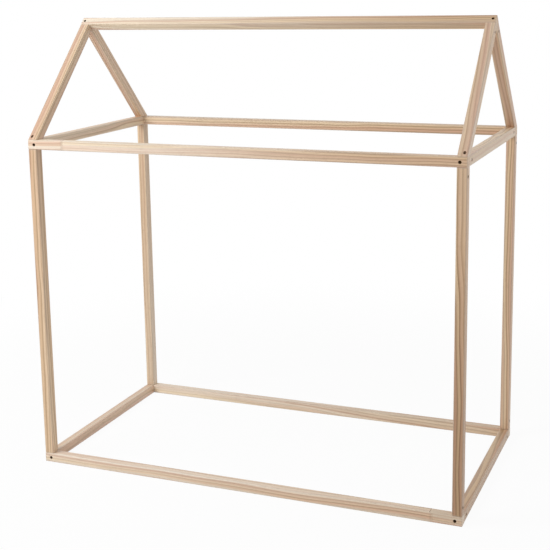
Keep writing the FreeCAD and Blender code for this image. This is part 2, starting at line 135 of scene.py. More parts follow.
def between(tree, share, low, high):
    """The number that lies a share of the way from low to high."""
    return maths(tree, "MULTIPLY_ADD", share, high - low, low)


def vectors(tree, operation, *values):
    """The result of one step of arithmetic on vectors."""
    made = node(tree, "ShaderNodeVectorMath", dict(enumerate(values)), operation=operation)
    return made.outputs["Value" if operation == "LENGTH" else "Vector"]


def split(tree, place):
    """The three numbers of a vector."""
    return node(tree, "ShaderNodeSeparateXYZ", {0: place}).outputs


def whole(tree, *numbers):
    """A vector made of up to three numbers."""
    return node(tree, "ShaderNodeCombineXYZ", dict(enumerate(numbers))).outputs[0]


print("helpers for nodes, numbers and vectors are ready")

# %% [markdown]
# ## Noise, ramps and shared groups
#
# Grain is never quite regular, so soft noise goes into most of its parts, and a ramp then picks
# the range of the noise that shows. What all seventeen timbers share goes into a group with
# named inputs, which is built once and placed in each finish with that timber's own values.

# %% Noise, ramps and groups
def noise(tree, place, seed, detail, roughness=0.5):
    """Soft noise that changes wholly with its seed."""
    given = {"Vector": place, "W": seed, "Scale": 1.0, "Detail": detail, "Roughness": roughness}
    return node(tree, "ShaderNodeTexNoise", given, noise_dimensions="4D").outputs


def ramp(tree, value, low, high, start=0.0, end=1.0):
    """A value carried smoothly from one range to another."""
    given = {"Value": value, "From Min": low, "From Max": high, "To Min": start, "To Max": end}
    return node(tree, "ShaderNodeMapRange", given, interpolation_type="SMOOTHSTEP").outputs["Result"]


def add_socket(tree, label, kind, value=None, way="INPUT"):
    """Gives a tree a named input or output."""
    made = tree.interface.new_socket(label, in_out=way, socket_type="NodeSocket" + kind)
    if value is not None:
        made.default_value = value


def group(name, inputs, outputs):
    """A new shader group with its sockets, and its input and output nodes."""
    tree = bpy.data.node_groups.new(name, "ShaderNodeTree")
    for label, kind, value in inputs:
        add_socket(tree, label, kind, value)
    for label, kind in outputs:
        add_socket(tree, label, kind, way="OUTPUT")
    return tree, tree.nodes.new("NodeGroupInput").outputs, tree.nodes.new("NodeGroupOutput").inputs


print("helpers for noise, ramps and groups are ready")

# %% [markdown]
# ## How a sawn timber gets its lines
#
# A tree grows a ring each year: a broad pale layer in spring and a thin dark one in summer. A
# timber is a straight bar sawn out of those rings, so its long faces show them as lines and its
# ends as arcs. One solid pattern, worked out from each point's distance to the tree's heart,
# gives both. A flat picture of wood wrapped round the bar never joins up at the ends. Because
# the heart is seldom quite parallel to the bar, a small lean makes the arches on flat-sawn faces.

# %% Build the growth rings
SWAY = (0.036, 0.036, 0.036)
SWAY_PACE = (1.6, 9.0, 9.0)
MIDDLE_OF_NOISE = (0.5, 0.5, 0.5)
ACROSS_ONLY = (0.0, 1.0, 1.0)
# the part of a year in which the summer line darkens, and the part in which it stops
SUMMER_DARKENS = (0.42, 0.88)
SUMMER_STOPS = (0.93, 1.0)
FAINTEST_AND_BOLDEST_LINE = (0.3, 1.0)
# how fast the colour drifts along the bar and from ring to ring, and the noise that shows
PACE_ALONG = 0.4
DRIFT_PACE = 70.0
WARMTH_PACE = 110.0
DRIFT_SHOWS = (0.3, 0.7)
WARMTH_SHOWS = (0.38, 0.68)


def distance_from_heart(tree, given, along):
    """How far each point lies from the tree's heart, which leans, and sways a little."""
    place = given["Place"]
    paced = vectors(tree, "MULTIPLY", place, SWAY_PACE)
    wander = noise(tree, paced, given["Seed"], detail=2.0, roughness=0.45)["Color"]
    sway = vectors(tree, "SUBTRACT", wander, MIDDLE_OF_NOISE)
    swayed = vectors(tree, "MULTIPLY_ADD", sway, SWAY, place)
    heart = vectors(tree, "MULTIPLY_ADD", given["Lean"], along, given["Heart"])
    apart = vectors(tree, "SUBTRACT", swayed, heart)
    return vectors(tree, "LENGTH", vectors(tree, "MULTIPLY", apart, ACROSS_ONLY))


def growth_rings():
    """Distance from the heart turned into spring wood, summer lines and slow drifts of colour."""
    tree, given, result = group(
        "growth_rings",
        [
            ("Place", "Vector", None),
            ("Heart", "Vector", (0.0, 0.05, 0.02)),
            ("Ring Width", "Float", 0.006),
            ("Lean", "Vector", (0.0, 0.0, 0.0)),
            ("Seed", "Float", 0.0),
        ],
        [("Line", "Float"), ("Drift", "Float"), ("Warmth", "Float"), ("Year", "Float")],
    )
    seed = given["Seed"]
    along = split(tree, given["Place"])[0]
    reach = distance_from_heart(tree, given, along)
    years = maths(tree, "DIVIDE", reach, given["Ring Width"])
    season = maths(tree, "FRACT", years)
    darkening = ramp(tree, season, *SUMMER_DARKENS)
    summer = maths(tree, "MULTIPLY", darkening, ramp(tree, season, *SUMMER_STOPS, 1.0, 0.0))
    number = maths(tree, "ADD", maths(tree, "FLOOR", years), seed)
    year = node(tree, "ShaderNodeTexWhiteNoise", {"W": number}, noise_dimensions="1D").outputs["Value"]
    boldness = between(tree, year, *FAINTEST_AND_BOLDEST_LINE)
    put(tree, result["Line"], maths(tree, "MULTIPLY", summer, boldness))
    put(tree, result["Year"], year)
    slowly = maths(tree, "MULTIPLY", along, PACE_ALONG)
    drift_place = whole(tree, slowly, maths(tree, "MULTIPLY", reach, DRIFT_PACE))
    warmth_place = whole(tree, slowly, 0.0, maths(tree, "MULTIPLY", reach, WARMTH_PACE))
    drift = noise(tree, drift_place, seed, detail=2.0)["Fac"]
    warmth = noise(tree, warmth_place, seed, detail=1.0)["Fac"]
    put(tree, result["Drift"], ramp(tree, drift, *DRIFT_SHOWS))
    put(tree, result["Warmth"], ramp(tree, warmth, *WARMTH_SHOWS))
    return tree


GROWTH_RINGS = growth_rings()
print("growth_rings has", len(GROWTH_RINGS.nodes), "nodes")

# %% [markdown]
# ## Fibres and pores
#
# Up close the wood is a bundle of fibres with short dark pores, all running lengthwise. Lines
# could be drawn one by one, but noise that is stretched along the timber gives both: streaks
# from long stretches of it, and pores from its rare high spots.

# %% Build the fibres
STREAK_STRETCH = (7.0, 420.0, 420.0)
STREAK_SHOWS = (0.25, 0.75)
PORE_STRETCH = (90.0, 1500.0, 1500.0)
PORE_SHOWS = (0.68, 0.78)
FIBRE_ROUGHNESS = 0.6


def fibres():
    """Fine lengthwise streaks, and short dark pores."""
    tree, given, result = group(
        "fibres",
        [("Place", "Vector", None), ("Seed", "Float", 0.0)],
        [("Streak", "Float"), ("Pore", "Float")],
    )

    def stretched(stretch, detail):
        """Noise drawn out along the timber."""
        place = vectors(tree, "MULTIPLY", given["Place"], stretch)
        return noise(tree, place, given["Seed"], detail, FIBRE_ROUGHNESS)["Fac"]

    put(tree, result["Streak"], ramp(tree, stretched(STREAK_STRETCH, 3.0), *STREAK_SHOWS))
    put(tree, result["Pore"], ramp(tree, stretched(PORE_STRETCH, 0.0), *PORE_SHOWS))
    return tree


FIBRES = fibres()
print("fibres has", len(FIBRES.nodes), "nodes")

# %% [markdown]
# ## Handled edges with a painted sheen, and drilled holes with painted shade
#
# The planed arrises are rounded, and hands and cloth rub them paler and smoother. Their greyish
# band is partly that wear and partly a painted sheen, where a rounded arris catches the light. A
# mask for it can be found by tracing rays round every edge, which is slow and needs one joined
# mesh. A timber is a plain bar, so distance to its own faces tells the same at no cost. The same
# distances find the drilled holes, whose walls are all that a finish meets below the faces, and
# whose dark brown is painted shade.

# %% Build the arris and hole masks
ARRIS_SOFTNESS = 0.6
# metres below the nearest face, and below the next nearest, within which a hole's wall begins
BORE_STARTS = (0.0001, 0.0004)
ARRIS_ENDS = (0.0032, 0.0042)


def arris_and_hole_masks():
    """Marks a bar's arrises, for handling wear and a painted sheen, and Bore marks the inside of its
    drilled holes, for painted shade.
    """
    tree, given, result = group(
        "arris_and_hole_masks",
        [
            ("Place", "Vector", None),
            ("Half Size", "Vector", (0.7, 0.016, 0.016)),
            ("Width", "Float", 0.004),
        ],
        [("Wear And Sheen", "Float"), ("Bore", "Float")],
    )
    inside = vectors(tree, "SUBTRACT", given["Half Size"], vectors(tree, "ABSOLUTE", given["Place"]))
    part = split(tree, inside)
    near = [ramp(tree, part[axis], 0.0, given["Width"], 1.0, 0.0) for axis in range(3)]
    pairs = [maths(tree, "MULTIPLY", near[a], near[b]) for a, b in ((0, 1), (1, 2), (0, 2))]
    arris_band = maths(tree, "MAXIMUM", maths(tree, "MAXIMUM", pairs[0], pairs[1]), pairs[2])
    put(tree, result["Wear And Sheen"], maths(tree, "POWER", arris_band, ARRIS_SOFTNESS, clamp=True))
    nearer = maths(tree, "MINIMUM", part[0], part[1])
    farther = maths(tree, "MAXIMUM", part[0], part[1])
    below_face = ramp(tree, maths(tree, "MINIMUM", nearer, part[2]), *BORE_STARTS)
    next_face = maths(tree, "MAXIMUM", nearer, maths(tree, "MINIMUM", farther, part[2]))
    off_arris = ramp(tree, next_face, *ARRIS_ENDS)
    put(tree, result["Bore"], maths(tree, "MULTIPLY", below_face, off_arris))
    return tree


ARRIS_AND_HOLE_MASKS = arris_and_hole_masks()
print("arris_and_hole_masks has", len(ARRIS_AND_HOLE_MASKS.nodes), "nodes")

# %% [markdown]
# ## A finger joint
#
# Long clear timbers are often two boards glued end to end, with fingers cut into each so that the
# glue has long faces to hold. On the face it shows as a small comb across the grain, where the
# figure changes. The front rails have one each, near their ends. A zigzag in length against
# height draws both the glue line and the border between the boards.

# %% Build the finger joint
GLUE_FADES = (0.0005, 0.0017)


def finger_joint():
    """Beyond is one past the joint, where the next board starts, and Glue is one on its line."""
    tree, given, result = group(
        "finger_joint",
        [
            ("Place", "Vector", None),
            ("Joint", "Float", 0.0),
            ("Finger", "Float", 0.011),
            ("Pitch", "Float", 0.004),
        ],
        [("Beyond", "Float"), ("Glue", "Float")],
    )
    part = split(tree, given["Place"])
    half_pitch = maths(tree, "DIVIDE", given["Pitch"], 2.0)
    zigzag = maths(tree, "DIVIDE", maths(tree, "PINGPONG", part[2], half_pitch), half_pitch)
    border = maths(tree, "MULTIPLY_ADD", zigzag, given["Finger"], given["Joint"])
    past = maths(tree, "SUBTRACT", part[0], border)
    put(tree, result["Beyond"], maths(tree, "GREATER_THAN", past, 0.0))
    put(tree, result["Glue"], ramp(tree, maths(tree, "ABSOLUTE", past), *GLUE_FADES, 1.0, 0.0))
    return tree


FINGER_JOINT = finger_joint()
print("finger_joint has", len(FINGER_JOINT.nodes), "nodes")

# %% [markdown]
# ## The grain of one timber
#
# Texture Coordinate gives each point's place, and a Mapping node lays the timber's own length
# along the pattern's first axis. A picture would need unwrapping, while a pattern in the solid
# needs only to be turned. Past a finger joint the heart and the seed change, as on a new board.

# %% Place the grain along a timber
NEXT_BOARD_SEED = 4.3
NEXT_BOARD_HEART = (0.0, 0.030, 0.026)


def place_on_piece(tree):
    """Each point's place in metres, which stays with the piece."""
    return tree.nodes.new("ShaderNodeTexCoord").outputs["Object"]


def laid_along(tree, centre, turn):
    """A point's place measured from a timber's middle, its length first."""
    given = {"Vector": place_on_piece(tree), "Location": centre, "Rotation": turn}
    return node(tree, "ShaderNodeMapping", given, vector_type="TEXTURE").outputs["Vector"]


def grouped(tree, shared, **inputs):
    """The outputs of a shared group placed in a material."""
    made = node(tree, "ShaderNodeGroup", node_tree=shared)
    for name, value in inputs.items():
        put(tree, made.inputs[name.replace("_", " ")], value)
    return made.outputs


def grain_of(tree, place, half_size, heart, ring_width, lean, seed, joint):
    """The rings, fibres, arrises and glue line that one timber's finish is mixed from."""
    heart = (0.0, *heart)
    lean = (0.0, *lean)
    glue = None
    if joint is not None:
        glue = grouped(tree, FINGER_JOINT, Place=place, Joint=joint)
        seed = maths(tree, "MULTIPLY_ADD", glue["Beyond"], NEXT_BOARD_SEED, seed)
        heart = vectors(tree, "MULTIPLY_ADD", glue["Beyond"], NEXT_BOARD_HEART, heart)
    ring = {"Heart": heart, "Ring_Width": ring_width, "Lean": lean}
    rings = grouped(tree, GROWTH_RINGS, Place=place, Seed=seed, **ring)
    fine = grouped(tree, FIBRES, Place=place, Seed=seed)
    edge = grouped(tree, ARRIS_AND_HOLE_MASKS, Place=place, Half_Size=half_size)
    return rings, fine, edge, glue


print("a board past a finger joint starts", NEXT_BOARD_HEART, "metres from the first one's heart")

# %% [markdown]
# ## The paints
#
# A photograph of a board would bring its own light and seams with it, so the wood is mixed from
# plain colours and masks. The colours are written as a painter's chart gives them, because that
# is how they are compared by eye, and turned into reflected light, which a shader reckons with.

# %% Choose the colours
def paint(red, green, blue):
    """A colour as a painter's chart gives it, 0 to 255, turned into the light it reflects."""
    def light(level):
        """The light that one level reflects."""
        share = level / 255
        return share / 12.92 if share < 0.04045 else ((share + 0.055) / 1.055) ** 2.4

    return (light(red), light(green), light(blue), 1.0)


SAPWOOD = paint(246, 234, 216)
HEARTWOOD = paint(220, 188, 152)
SUMMER_LINE = paint(158, 120, 84)
STRAW = paint(232, 204, 162)
ROSY = paint(208, 161, 136)
GREYED = paint(196, 176, 148)
# greyish for the arrises: partly handling wear, partly a painted sheen where a rounded edge catches the
# light
HANDLED_AND_SHEEN = paint(200, 182, 162)
# dark brown for the walls of the drilled holes, a painted shade
HOLE_SHADE = paint(94, 61, 26)
GLUED = paint(122, 88, 56)
for wood, colour in (("sapwood", SAPWOOD), ("heartwood", HEARTWOOD)):
    print(wood, "reflects", [round(share, 2) for share in colour[:3]])

# %% [markdown]
# ## The colour of the wood
#
# The paints go on in the order in which the tree and the maker made them: pale sapwood going
# over into heartwood, which along the long rails and the ridge also paints part of the fall of
# light, straw and greyed years, rosy drifts, the dark summer lines, a darkening that is painted
# shade on the right bottom rail, fibres and pores, then the handled arrises with a painted sheen,
# the glue and painted shade in the drilled holes. They could go on in any order, but then lines
# would cross the glue, and the holes would look rubbed by hands.

# %% Mix the colour
SAP_DRIFTS = (-0.25, 0.25)
# a year's own number from and to, and the share of the paint at each
STRAW_YEARS = (0.4, 0.9, 0.0, 0.5)
GREYED_YEARS = (0.1, 0.4, 0.35, 0.0)
ROSY_SHARE = 0.65
LINE_ON_HEARTWOOD_AND_SAPWOOD = (0.93, 0.25)
STREAK_SHADES = (0.92, 1.08)
# a darkened board loses more green than red, and more blue than green, both where its tone is
# deeper and where, as on the right bottom rail, shade is painted
TONE_AND_SHADE_POWERS = (1.0, 1.3, 1.6)
PORE_SHARE = 0.35
# the share of the arris paint, which is handling wear and painted sheen
HANDLED_AND_SHEEN_SHARE = 0.5
GLUED_SHARE = 0.8
# how far the walls of the holes are darkened by painted shade
HOLE_SHADE_SHARE = 0.9


def blend(tree, share, first, second, kind="MIX"):
    """The colour between two colours, which are a Mix node's inputs 6 and 7 and its output 2."""
    made = node(tree, "ShaderNodeMix", data_type="RGBA", blend_type=kind)
    for number, value in ((0, share), (6, first), (7, second)):
        put(tree, made.inputs[number], value)
    return made.outputs[2]


def painted_over(tree, colour, mask, share, paint_on_top):
    """A colour that goes over into another, by at most a share, where a mask says so."""
    return blend(tree, maths(tree, "MULTIPLY", mask, share), colour, paint_on_top)


def wood_colour(tree, place, grain, half_length, pale, tone_and_shade):
    """The colour of one timber, whose sapwood share and darkening go from one value to another.
    Along the long rails and the ridge the sapwood share also paints part of the fall of light
    from left to right, and on the right bottom rail the darkening is a painted shade.
    """
    rings, fine, edge, glue = grain
    length = split(tree, place)[0]
    # sapwood share along the bar; along the long rails and the ridge its fall from the left end is partly
    # a painted fall of light
    sap = ramp(tree, length, -half_length, half_length, *pale)
    sap = maths(tree, "ADD", sap, between(tree, rings["Drift"], *SAP_DRIFTS), clamp=True)
    colour = blend(tree, sap, HEARTWOOD, SAPWOOD)
    colour = blend(tree, ramp(tree, rings["Year"], *STRAW_YEARS), colour, STRAW)
    colour = blend(tree, ramp(tree, rings["Year"], *GREYED_YEARS), colour, GREYED)
    colour = painted_over(tree, colour, rings["Warmth"], ROSY_SHARE, ROSY)
    line_share = between(tree, sap, *LINE_ON_HEARTWOOD_AND_SAPWOOD)
    colour = painted_over(tree, colour, rings["Line"], line_share, SUMMER_LINE)
    # darkening along the bar: painted shade all along the right bottom rail, darker towards the bottom on
    # the front right post, and slight elsewhere
    depth = ramp(tree, length, -half_length, half_length, *tone_and_shade)
    streak = between(tree, fine["Streak"], *STREAK_SHADES)
    shades = [maths(tree, "MULTIPLY", streak, maths(tree, "POWER", depth, power)) for power in TONE_AND_SHADE_POWERS]
    dark = node(tree, "ShaderNodeCombineColor", dict(enumerate(shades))).outputs[0]
    colour = blend(tree, 1.0, colour, dark, "MULTIPLY")
    colour = painted_over(tree, colour, fine["Pore"], PORE_SHARE, SUMMER_LINE)
    # the arrises: partly handling wear, partly a painted sheen
    colour = painted_over(tree, colour, edge["Wear And Sheen"], HANDLED_AND_SHEEN_SHARE, HANDLED_AND_SHEEN)
    if glue:
        colour = painted_over(tree, colour, glue["Glue"], GLUED_SHARE, GLUED)
    # the walls of the drilled holes are darkened as painted shade
    return painted_over(tree, colour, edge["Bore"], HOLE_SHADE_SHARE, HOLE_SHADE)


print("the boldest lines cover", LINE_ON_HEARTWOOD_AND_SAPWOOD, "of heartwood and of sapwood")

# %% [markdown]
# ## From colour to a finished surface
#
# The timber is planed and has a thin clear coat, which the drilled holes never got. Summer wood
# is denser than spring wood, so it stands a little proud and shines a little more, and pores are
# small pits. That goes into roughness and a shallow bump, because real relief so fine would need
# millions of faces.

# %% Make a timber finish
SPRING_AND_SUMMER_ROUGHNESS = (0.58, 0.48)
HANDLED_SMOOTHER_BY = 0.14
LINE_HEIGHT = 0.5
STREAK_HEIGHT = 0.35
BUMP_DEPTH = 0.0006
BUMP_STRENGTH = 0.35
COAT = 0.4
COAT_ROUGHNESS = 0.35


def new_finish(name):
    """A new material, its tree, and the shader whose sockets are to be filled."""
    material = bpy.data.materials.new(name)
    material.use_nodes = True
    tree = material.node_tree
    return material, tree, tree.nodes["Principled BSDF"]


def add_relief(tree, shader, strength, height):
    """Gives a finish its shallow bump."""
    bump = node(tree, "ShaderNodeBump", {"Strength": strength, "Distance": BUMP_DEPTH, "Height": height})
    put(tree, shader.inputs["Normal"], bump.outputs[0])


def timber_finish(name, centre, turn, half_size, pale, tone_and_shade, **figure):
    """The finish of one timber of a given place, size and figure."""
    material, tree, shader = new_finish(name)
    place = laid_along(tree, centre, turn)
    grain = grain_of(tree, place, half_size, **figure)
    rings, fine, edge, _ = grain
    put(tree, shader.inputs["Base Color"], wood_colour(tree, place, grain, half_size[0], pale, tone_and_shade))
    rough = between(tree, rings["Line"], *SPRING_AND_SUMMER_ROUGHNESS)
    rough = maths(tree, "MULTIPLY_ADD", edge["Wear And Sheen"], -HANDLED_SMOOTHER_BY, rough)
    put(tree, shader.inputs["Roughness"], rough)
    streak = maths(tree, "MULTIPLY", fine["Streak"], STREAK_HEIGHT)
    height = maths(tree, "MULTIPLY_ADD", rings["Line"], LINE_HEIGHT, streak)
    height = maths(tree, "SUBTRACT", height, fine["Pore"])
    add_relief(tree, shader, BUMP_STRENGTH, height)
    put(tree, shader.inputs["Coat Weight"], between(tree, edge["Bore"], COAT, 0.0))
    shader.inputs["Coat Roughness"].default_value = COAT_ROUGHNESS
    return material


print("the grain stands at most", round(BUMP_DEPTH / MILLIMETRE, 2), "mm proud")

# %% [markdown]
# ## How each timber lies
#
# A finish has to know its timber's middle, its size and which way it lies. They could be typed
# in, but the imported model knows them. The box of a rail, a post or the ridge gives them directly,
# while a rafter slants, so its box is larger than the bar, and its middle is worked out from the
# eaves, the bed's depth and the timber's thickness.

# %% Read each timber's middle and size
LENGTHWAYS = (0.0, 0.0, 0.0)
ACROSS = (0.0, 0.0, math.pi / 2)
UPRIGHT = (0.0, -math.pi / 2, 0.0)
ON_EDGE = (math.pi / 4, 0.0, 0.0)
FRONT_SLOPE = (0.0, -math.pi / 4, math.pi / 2)
BACK_SLOPE = (0.0, -math.pi / 4, -math.pi / 2)
SLANT = math.sqrt(0.5)


def rafter_middle(along_bed, turn, half_length, half_thick):
    """The middle of a rafter, which butts on the ridge and stands on the eaves."""
    side = -1 if turn == FRONT_SLOPE else 1
    inward = (half_length + half_thick) * SLANT
    up = (half_length - half_thick) * SLANT
    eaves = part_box("front_top_rail")[1].z
    return Vector((along_bed, side * (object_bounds()[1].y - inward), eaves + up))


def middle_and_half_size(name, turn):
    """A timber's middle, and half its length and thickness, from its box and the way it lies."""
    low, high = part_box(name)
    post_low, post_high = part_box("front_left_post")
    middle = (low + high) / 2
    size = high - low
    half_thick = (post_high.x - post_low.x) / 2
    if turn in (FRONT_SLOPE, BACK_SLOPE):
        half_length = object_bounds()[1].y * SLANT - half_thick
        middle = rafter_middle(middle.x, turn, half_length, half_thick)
    elif turn == ON_EDGE:
        half_length = size.x / 2
    else:
        half_length = max(size) / 2
        half_thick = min(size) / 2
    return middle, (half_length, half_thick, half_thick)


middle, half_size = middle_and_half_size("front_left_rafter", FRONT_SLOPE)
print("a rafter is", round(half_size[0] * 2, 4), "metres long, its middle", round(middle.z, 4), "up")

# %% [markdown]
# ## Seventeen timbers
#
# The boards come from different trees, so each timber has its own heart, ring width, lean and
# share of sapwood. They could be drawn at random, but the photograph shows which rail is pale
# and which post is dark, so a table sets them. The same shares also carry painted light: along
# the long rails and the ridge the paler left end is partly a painted fall of light from left to
# right, and the right bottom rail is darkened as painted shade.

# %% Give every timber its own
TIMBERS = [
    # name, way it lies, heart and ring width in mm, lean, seed, sapwood and darkening at start and end;
    # the long rails and the ridge are paler at their left ends partly as a painted fall of light,
    # the right bottom rail is darkened all along as painted shade, and the front right post is
    # darker towards the bottom
    ("front_bottom_rail", LENGTHWAYS, (-40, -55), 8.8, (0, 0.004), 3.1, (1.05, 0.45), (1.0, 1.0)),
    ("back_bottom_rail", LENGTHWAYS, (26, -30), 7.4, (0.020, 0), 8.7, (0.90, 0.45), (1.0, 1.0)),
    ("left_bottom_rail", ACROSS, (50, 20), 8.1, (0, 0.006), 12.3, (0.60, 0.70), (1.0, 1.0)),
    ("right_bottom_rail", ACROSS, (20, -50), 6.6, (0, 0.003), 21.8, (0.0, 0.05), (0.79, 0.81)),
    ("front_top_rail", LENGTHWAYS, (0, -121), 9.5, (0, 0.006), 17.1, (1.35, -0.05), (1.0, 1.0)),
    ("back_top_rail", LENGTHWAYS, (30, 60), 8.1, (0, 0.004), 30.5, (0.60, 0.10), (1.0, 0.97)),
    ("left_top_rail", ACROSS, (45, -40), 8.1, (0.004, 0), 36.5, (0.30, 0.15), (1.0, 1.0)),
    ("right_top_rail", ACROSS, (10, -62), 2.3, (0, 0.012), 36.8, (0.35, 0.30), (1.0, 1.0)),
    ("front_left_post", UPRIGHT, (40, 52), 7.6, (0, 0.003), 41.5, (0.20, 0.05), (0.98, 0.93)),
    ("front_right_post", UPRIGHT, (26, -50), 8.1, (0, 0.014), 46.9, (-0.30, 0.10), (0.66, 0.98)),
    ("back_left_post", UPRIGHT, (-58, 36), 8.8, (0, 0.004), 56.6, (0.55, 0.10), (1.0, 1.0)),
    ("back_right_post", UPRIGHT, (-48, 44), 8.1, (0, 0.004), 53.2, (0.10, 0.0), (1.0, 0.98)),
    ("front_left_rafter", FRONT_SLOPE, (52, -34), 8.1, (0.005, 0), 63.5, (0.10, 0.20), (0.93, 0.95)),
    ("front_right_rafter", FRONT_SLOPE, (-46, -42), 8.1, (0.006, 0), 63.4, (0.45, 0.25), (1.0, 1.0)),
    ("back_left_rafter", BACK_SLOPE, (58, 20), 7.4, (0.004, 0), 79.4, (0.20, 0.35), (1.0, 1.0)),
    ("back_right_rafter", BACK_SLOPE, (-50, 38), 8.1, (0.007, 0), 76.2, (0.05, 0.0), (0.98, 0.92)),
    ("ridge_beam", ON_EDGE, (-46, 20), 7.4, (0.018, 0), 85.8, (1.25, 0.15), (0.98, 0.98)),
]
FINGER_JOINTS = {"front_top_rail": -0.618, "front_bottom_rail": 0.640}


def dress(timber, material):
    """Puts one material on the whole of a timber."""
    timber.data.materials.clear()
    timber.data.materials.append(material)
    for face in timber.data.polygons:
        face.material_index = 0


for name, turn, heart, ring_width, lean, seed, pale, tone_and_shade in TIMBERS:
    middle, half_size = middle_and_half_size(name, turn)
    figure = {
        "heart": [across * MILLIMETRE for across in heart],
        "ring_width": ring_width * MILLIMETRE,
        "lean": lean,
        "seed": seed,
        "joint": FINGER_JOINTS.get(name),
    }
    finish = timber_finish(name + "_timber", middle, turn, half_size, pale, tone_and_shade, **figure)
    dress(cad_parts[name], finish)
print(len(TIMBERS), "timbers have a finish of their own")

# %% [markdown]
# ## Browned steel
#
# The bolts and barrel nuts have a browned finish, nearly black in the sockets and a little
# brassy where a key or a hand has rubbed it. A dark paint would look the same from afar, but
# metal mirrors the room, so the colour goes on a metallic shader and only mottles.

# %% Make the steel
MOTTLE = {"Scale": 420.0, "Detail": 4.0}
DARK_BROWNING = paint(44, 30, 17)
WORN_BROWNING = paint(88, 66, 42)
# the mottle from and to, and the roughness at each
STEEL_ROUGHNESS = (0.3, 0.7, 0.4, 0.55)


def browned_steel():
    """Browned steel, mottled by the bath it was dipped in."""
    material, tree, shader = new_finish("browned_steel")
    mottle = node(tree, "ShaderNodeTexNoise", {"Vector": place_on_piece(tree), **MOTTLE}).outputs["Fac"]
    put(tree, shader.inputs["Base Color"], blend(tree, mottle, DARK_BROWNING, WORN_BROWNING))
    put(tree, shader.inputs["Roughness"], ramp(tree, mottle, *STEEL_ROUGHNESS))
    shader.inputs["Metallic"].default_value = 1.0
    return material


STEEL = browned_steel()
print("browned_steel has", len(STEEL.node_tree.nodes), "nodes")

# %% [markdown]
# ## Raw beech
#
# The dowels are raw beech, which is plain wood with short dark flecks and no clear rings. The
# fibres of the timbers serve again, without the rest of their recipe.

# %% Make the beech
BEECH_SEED = 5.0
DARK_BEECH = paint(196, 150, 112)
PALE_BEECH = paint(222, 184, 146)
BEECH_FLECK = paint(140, 92, 60)
FLECK_SHARE = 0.6
BEECH_ROUGHNESS = (0.7, 0.6)
BEECH_BUMP_STRENGTH = 0.3


def raw_beech():
    """Plain beech with its short dark flecks."""
    material, tree, shader = new_finish("raw_beech")
    fine = grouped(tree, FIBRES, Place=place_on_piece(tree), Seed=BEECH_SEED)
    colour = blend(tree, fine["Streak"], DARK_BEECH, PALE_BEECH)
    colour = painted_over(tree, colour, fine["Pore"], FLECK_SHARE, BEECH_FLECK)
    put(tree, shader.inputs["Base Color"], colour)
    put(tree, shader.inputs["Roughness"], between(tree, fine["Streak"], *BEECH_ROUGHNESS))
    add_relief(tree, shader, BEECH_BUMP_STRENGTH, fine["Streak"])
    return material


BEECH = raw_beech()
print("raw_beech has", len(BEECH.node_tree.nodes), "nodes")

# %% [markdown]
# ## A tree for every kind of fastener
#
# Bolts, barrel nuts and dowels come in groups of four or eight alike, so each kind is drawn once,
# in Geometry Nodes, and set down on a list of seats. Linked copies would do for a picture, but
# here each group has to end as one plain mesh. A seat is a point with two arrows: aim, the way
# the fastener's top looks, and across, the way its side looks.

# %% Start and end a fastener's tree
def fastener_tree(name, sizes):
    """A tree that takes seats, named sizes and a finish, with what it was given."""
    tree = bpy.data.node_groups.new(name, "GeometryNodeTree")
    tree.is_modifier = True
    add_socket(tree, "Seats", "Geometry")
    for label, value in sizes.items():
        add_socket(tree, label, "Float", value)
    add_socket(tree, "Finish", "Material")
    add_socket(tree, "Fasteners", "Geometry", way="OUTPUT")
    return tree, tree.nodes.new("NodeGroupInput").outputs


def shape(tree, kind, inputs=None, **settings):
    """What one Geometry node puts out."""
    return node(tree, "GeometryNode" + kind, inputs, **settings).outputs[0]


def arrow(tree, name):
    """One of a seat's two arrows."""
    return shape(tree, "InputNamedAttribute", {"Name": name}, data_type="FLOAT_VECTOR")


def set_down(tree, given, body):
    """Puts the body on every seat, turned to its arrows, and ends the tree."""
    arrows = {"Primary Axis": arrow(tree, "aim"), "Secondary Axis": arrow(tree, "across")}
    turn = node(tree, "FunctionNodeAxesToRotation", arrows).outputs[0]
    placed = {"Points": given["Seats"], "Instance": body, "Rotation": turn}
    real = shape(tree, "RealizeInstances", {"Geometry": shape(tree, "InstanceOnPoints", placed)})
    finished = shape(tree, "SetMaterial", {"Geometry": real, "Material": given["Finish"]})
    put(tree, tree.nodes.new("NodeGroupOutput").inputs[0], finished)


print("a seat carries the arrows aim and across")

# %% [markdown]
# ## A lathe made of cones
#
# All three kinds are turned, and a lathe's cut is a list of stations, each a radius at a height.
# A cone without caps joins two stations, and the cones merged together make one closed skin. A
# profile curve swept round a circle would do too, but then its sizes couldn't be inputs.

# %% The lathe
LATHE_SIDES = 36
TOUCHING = 0.000001


def joined(tree, parts):
    """Several geometries as one, with the points they share merged."""
    made = tree.nodes.new("GeometryNodeJoinGeometry")
    for part in parts:
        tree.links.new(part, made.inputs[0])
    return shape(tree, "MergeByDistance", {"Geometry": made.outputs[0], "Distance": TOUCHING})


def moved(tree, geometry, place=(0.0, 0.0, 0.0), turn=(0.0, 0.0, 0.0)):
    """A geometry shifted and turned."""
    return shape(tree, "Transform", {"Geometry": geometry, "Translation": place, "Rotation": turn})


def turned(tree, stations, sides=LATHE_SIDES):
    """A skin of revolution through stations of radius and height, from the lowest up."""
    cones = []
    for (low_radius, low), (high_radius, high) in zip(stations, stations[1:]):
        depth = maths(tree, "SUBTRACT", high, low)
        given = {"Vertices": sides, "Radius Bottom": low_radius, "Radius Top": high_radius, "Depth": depth}
        cone = shape(tree, "MeshCone", given, fill_type="NONE")
        cones.append(moved(tree, cone, whole(tree, 0.0, 0.0, low)))
    return joined(tree, cones)


